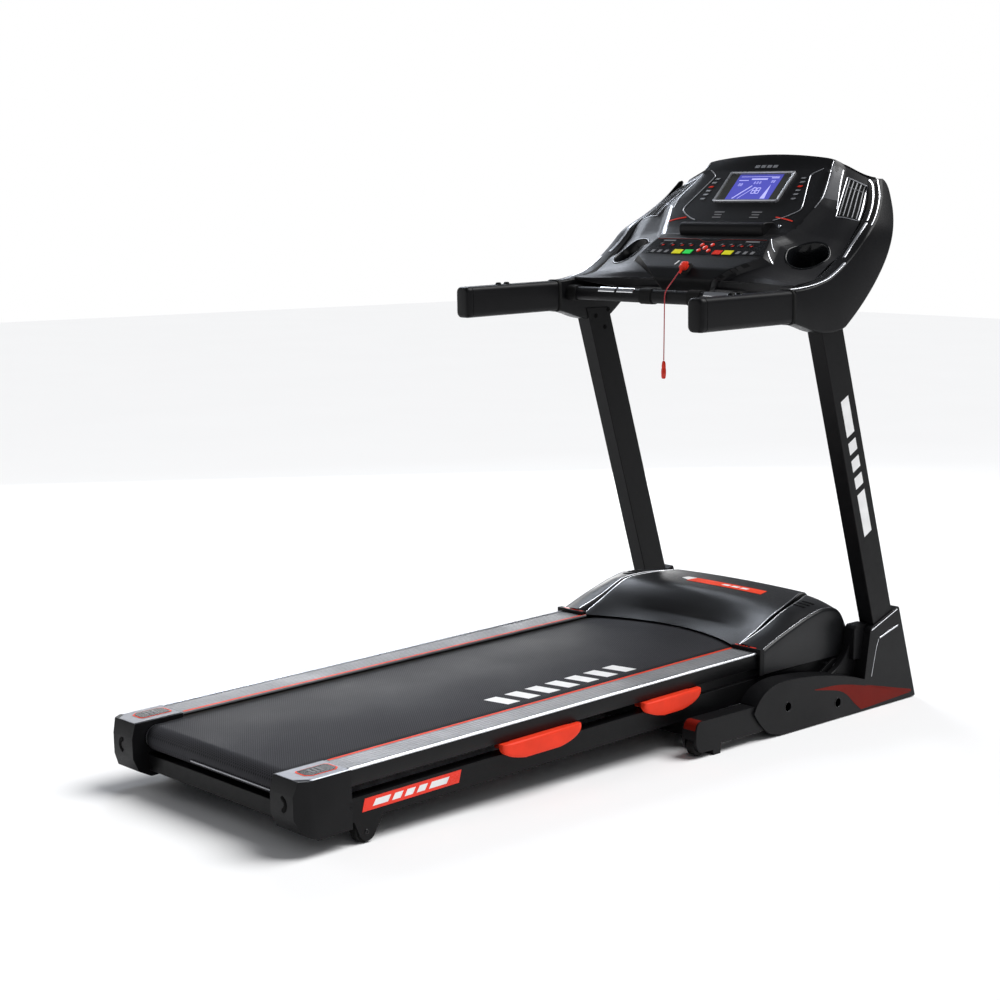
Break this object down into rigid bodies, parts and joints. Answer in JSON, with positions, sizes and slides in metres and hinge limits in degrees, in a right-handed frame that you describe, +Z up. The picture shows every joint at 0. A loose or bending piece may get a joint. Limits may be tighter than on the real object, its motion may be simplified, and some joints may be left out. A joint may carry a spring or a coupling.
{
  "type": "folding treadmill",
  "caption": "Folding motorised treadmill with leaning uprights, console, handrails, powered incline, fold-up running deck and red cushion pads.",
  "frame": {"origin": "on the floor, under the middle of the machine's box", "axes": "+X is the user's right, +Y points from the step-on end to the console, +Z is up"},
  "size_m": [0.75, 1.778, 1.27],
  "materials": {
    "painted_steel": "satin black powder coat",
    "bare_steel": "zinc plated",
    "black_plastic": "satin moulded black",
    "hood_plastic": "satin dark grey",
    "soft_rubber": "matt black",
    "belt_rubber": "fine embossed dark grey",
    "grey_rail": "ribbed silver grey",
    "red_elastomer": "satin orange red",
    "red_plastic": "gloss red",
    "deck_board": "waxed fibreboard",
    "display_glass": "tinted lens with a blue display",
    "tether_cord": "woven red cord"
  },
  "bodies": {
    "base": {"base_tube_left": "painted_steel", "base_tube_right": "painted_steel", "tube_cap_left": "black_plastic", "tube_cap_right": "black_plastic", "upright_left": "painted_steel", "upright_right": "painted_steel", "base_cover_left": "black_plastic", "base_cover_right": "black_plastic", "base_cross_rear": "painted_steel", "base_cross_front": "painted_steel", "console_upper": "black_plastic", "console_back": "black_plastic", "lcd_lens": "display_glass", "cup_liner_left": "black_plastic", "cup_liner_right": "black_plastic", "arm_cover_left": "black_plastic", "arm_cover_right": "black_plastic", "handrail_left": "black_plastic", "handrail_right": "black_plastic", "pulse_bar": "painted_steel"},
    "transport_wheel_left": {"base_wheel_left": "soft_rubber"},
    "transport_wheel_right": {"base_wheel_right": "soft_rubber"},
    "lift_frame": {"lift_arm_left": "painted_steel", "lift_arm_right": "painted_steel", "lift_tube": "painted_steel"},
    "axle": {"hinge_carrier": "bare_steel"},
    "incline_motor_body": {"incline_motor": "black_plastic"},
    "incline_screw_body": {"incline_screw": "bare_steel"},
    "strut_cylinder_body": {"strut_cylinder": "painted_steel"},
    "strut_rod_body": {"strut_rod": "bare_steel"},
    "deck": {"deck_rail_left": "painted_steel", "deck_rail_right": "painted_steel", "deck_cross_rear": "painted_steel", "deck_cross_front": "painted_steel", "deck_board": "deck_board", "running_belt": "belt_rubber", "foot_rail_left": "grey_rail", "foot_rail_right": "grey_rail", "cushion_rear_left": "red_elastomer", "cushion_rear_right": "red_elastomer", "cushion_front_left": "red_elastomer", "cushion_front_right": "red_elastomer", "end_cap_left": "black_plastic", "end_cap_right": "black_plastic", "motor_hood": "hood_plastic", "motor_pan": "black_plastic", "drive_motor": "painted_steel", "drive_belt": "soft_rubber"},
    "front_roller_body": {"front_roller": "bare_steel"},
    "rear_roller_body": {"rear_roller": "bare_steel"},
    "motor_rotor_body": {"motor_rotor": "bare_steel"},
    "deck_wheel_body_left": {"deck_wheel_left": "soft_rubber"},
    "deck_wheel_body_right": {"deck_wheel_right": "soft_rubber"},
    "button_plus_body_left": {"button_plus_left": "soft_rubber"},
    "button_plus_body_right": {"button_plus_right": "soft_rubber"},
    "button_minus_body_left": {"button_minus_left": "soft_rubber"},
    "button_minus_body_right": {"button_minus_right": "soft_rubber"},
    "safety_key_body": {"safety_key": "red_plastic", "tether_cord": "tether_cord", "tether_clip": "red_plastic"}
  },
  "joints": [
    {"name": "incline_lift", "type": "hinge", "parent": "base", "child": "lift_frame", "pos_m": [0, 0.491, 0.032], "axis": [1, 0, 0], "range_deg": [0, 40]},
    {"name": "carrier_level", "type": "hinge", "parent": "lift_frame", "child": "axle", "pos_m": [0, 0.641, 0.102], "axis": [1, 0, 0], "range_deg": [-36.65, 0]},
    {"name": "deck_fold", "type": "hinge", "parent": "axle", "child": "deck", "pos_m": [0, 0.641, 0.102], "axis": [-1, 0, 0], "range_deg": [0, 65]},
    {"name": "actuator_tilt", "type": "hinge", "parent": "base", "child": "incline_motor_body", "pos_m": [0.07, 0.232, 0.058], "axis": [1, 0, 0], "range_deg": [-8.02, 0]},
    {"name": "screw_slide", "type": "slide", "parent": "incline_motor_body", "child": "incline_screw_body", "axis": [0, 0.9936, 0.1128], "range_m": [-0.02781, 0]},
    {"name": "strut_tilt", "type": "hinge", "parent": "deck", "child": "strut_cylinder_body", "pos_m": [-0.128, 0.197, 0.0827], "axis": [1, 0, 0], "range_deg": [-1.46, 0]},
    {"name": "strut_slide", "type": "slide", "parent": "strut_cylinder_body", "child": "strut_rod_body", "axis": [0, 1, 0.0031], "range_m": [0, 0.03029]},
    {"name": "front_roller_spin", "type": "hinge", "parent": "deck", "child": "front_roller_body", "pos_m": [0, 0.48039, 0.14522], "axis": [1, 0, 0], "continuous": true},
    {"name": "rear_roller_spin", "type": "hinge", "parent": "deck", "child": "rear_roller_body", "pos_m": [0, -0.83624, 0.11362], "axis": [1, 0, 0], "continuous": true},
    {"name": "motor_spin", "type": "hinge", "parent": "deck", "child": "motor_rotor_body", "pos_m": [0, 0.60086, 0.16842], "axis": [1, 0, 0], "continuous": true},
    {"name": "deck_wheel_spin_left", "type": "hinge", "parent": "deck", "child": "deck_wheel_body_left", "pos_m": [-0.291, -0.73101, 0.02202], "axis": [1, 0, 0], "continuous": true},
    {"name": "deck_wheel_spin_right", "type": "hinge", "parent": "deck", "child": "deck_wheel_body_right", "pos_m": [0.291, -0.73101, 0.02202], "axis": [1, 0, 0], "continuous": true},
    {"name": "transport_wheel_spin_left", "type": "hinge", "parent": "base", "child": "transport_wheel_left", "pos_m": [-0.35, 0.131, 0.026], "axis": [1, 0, 0], "continuous": true},
    {"name": "transport_wheel_spin_right", "type": "hinge", "parent": "base", "child": "transport_wheel_right", "pos_m": [0.35, 0.131, 0.026], "axis": [1, 0, 0], "continuous": true},
    {"name": "button_plus_press_left", "type": "slide", "parent": "base", "child": "button_plus_body_left", "axis": [0, 0.0216, -0.9998], "range_m": [0, 0.0015], "stiffness_N_per_m": 400, "springref_m": -0.0005},
    {"name": "button_minus_press_left", "type": "slide", "parent": "base", "child": "button_minus_body_left", "axis": [0, 0.0216, -0.9998], "range_m": [0, 0.0015], "stiffness_N_per_m": 400, "springref_m": -0.0005},
    {"name": "button_plus_press_right", "type": "slide", "parent": "base", "child": "button_plus_body_right", "axis": [0, 0.0216, -0.9998], "range_m": [0, 0.0015], "stiffness_N_per_m": 400, "springref_m": -0.0005},
    {"name": "button_minus_press_right", "type": "slide", "parent": "base", "child": "button_minus_body_right", "axis": [0, 0.0216, -0.9998], "range_m": [0, 0.0015], "stiffness_N_per_m": 400, "springref_m": -0.0005},
    {"name": "safety_key_pull", "type": "slide", "parent": "base", "child": "safety_key_body", "axis": [0, -0.7071, 0.7071], "range_m": [0, 0.02]}
  ],
  "couplings": [
    {"joint": "carrier_level", "follows": "incline_lift", "ratio": -0.91624},
    {"joint": "actuator_tilt", "follows": "incline_lift", "ratio": -0.20045},
    {"joint": "screw_slide", "follows": "incline_lift", "m_per_rad": -0.039827},
    {"joint": "strut_tilt", "follows": "deck_fold", "ratio": -0.022421},
    {"joint": "strut_slide", "follows": "deck_fold", "m_per_rad": 0.026692},
    {"joint": "rear_roller_spin", "follows": "front_roller_spin", "ratio": 1},
    {"joint": "motor_spin", "follows": "front_roller_spin", "ratio": 2.0714}
  ]
}
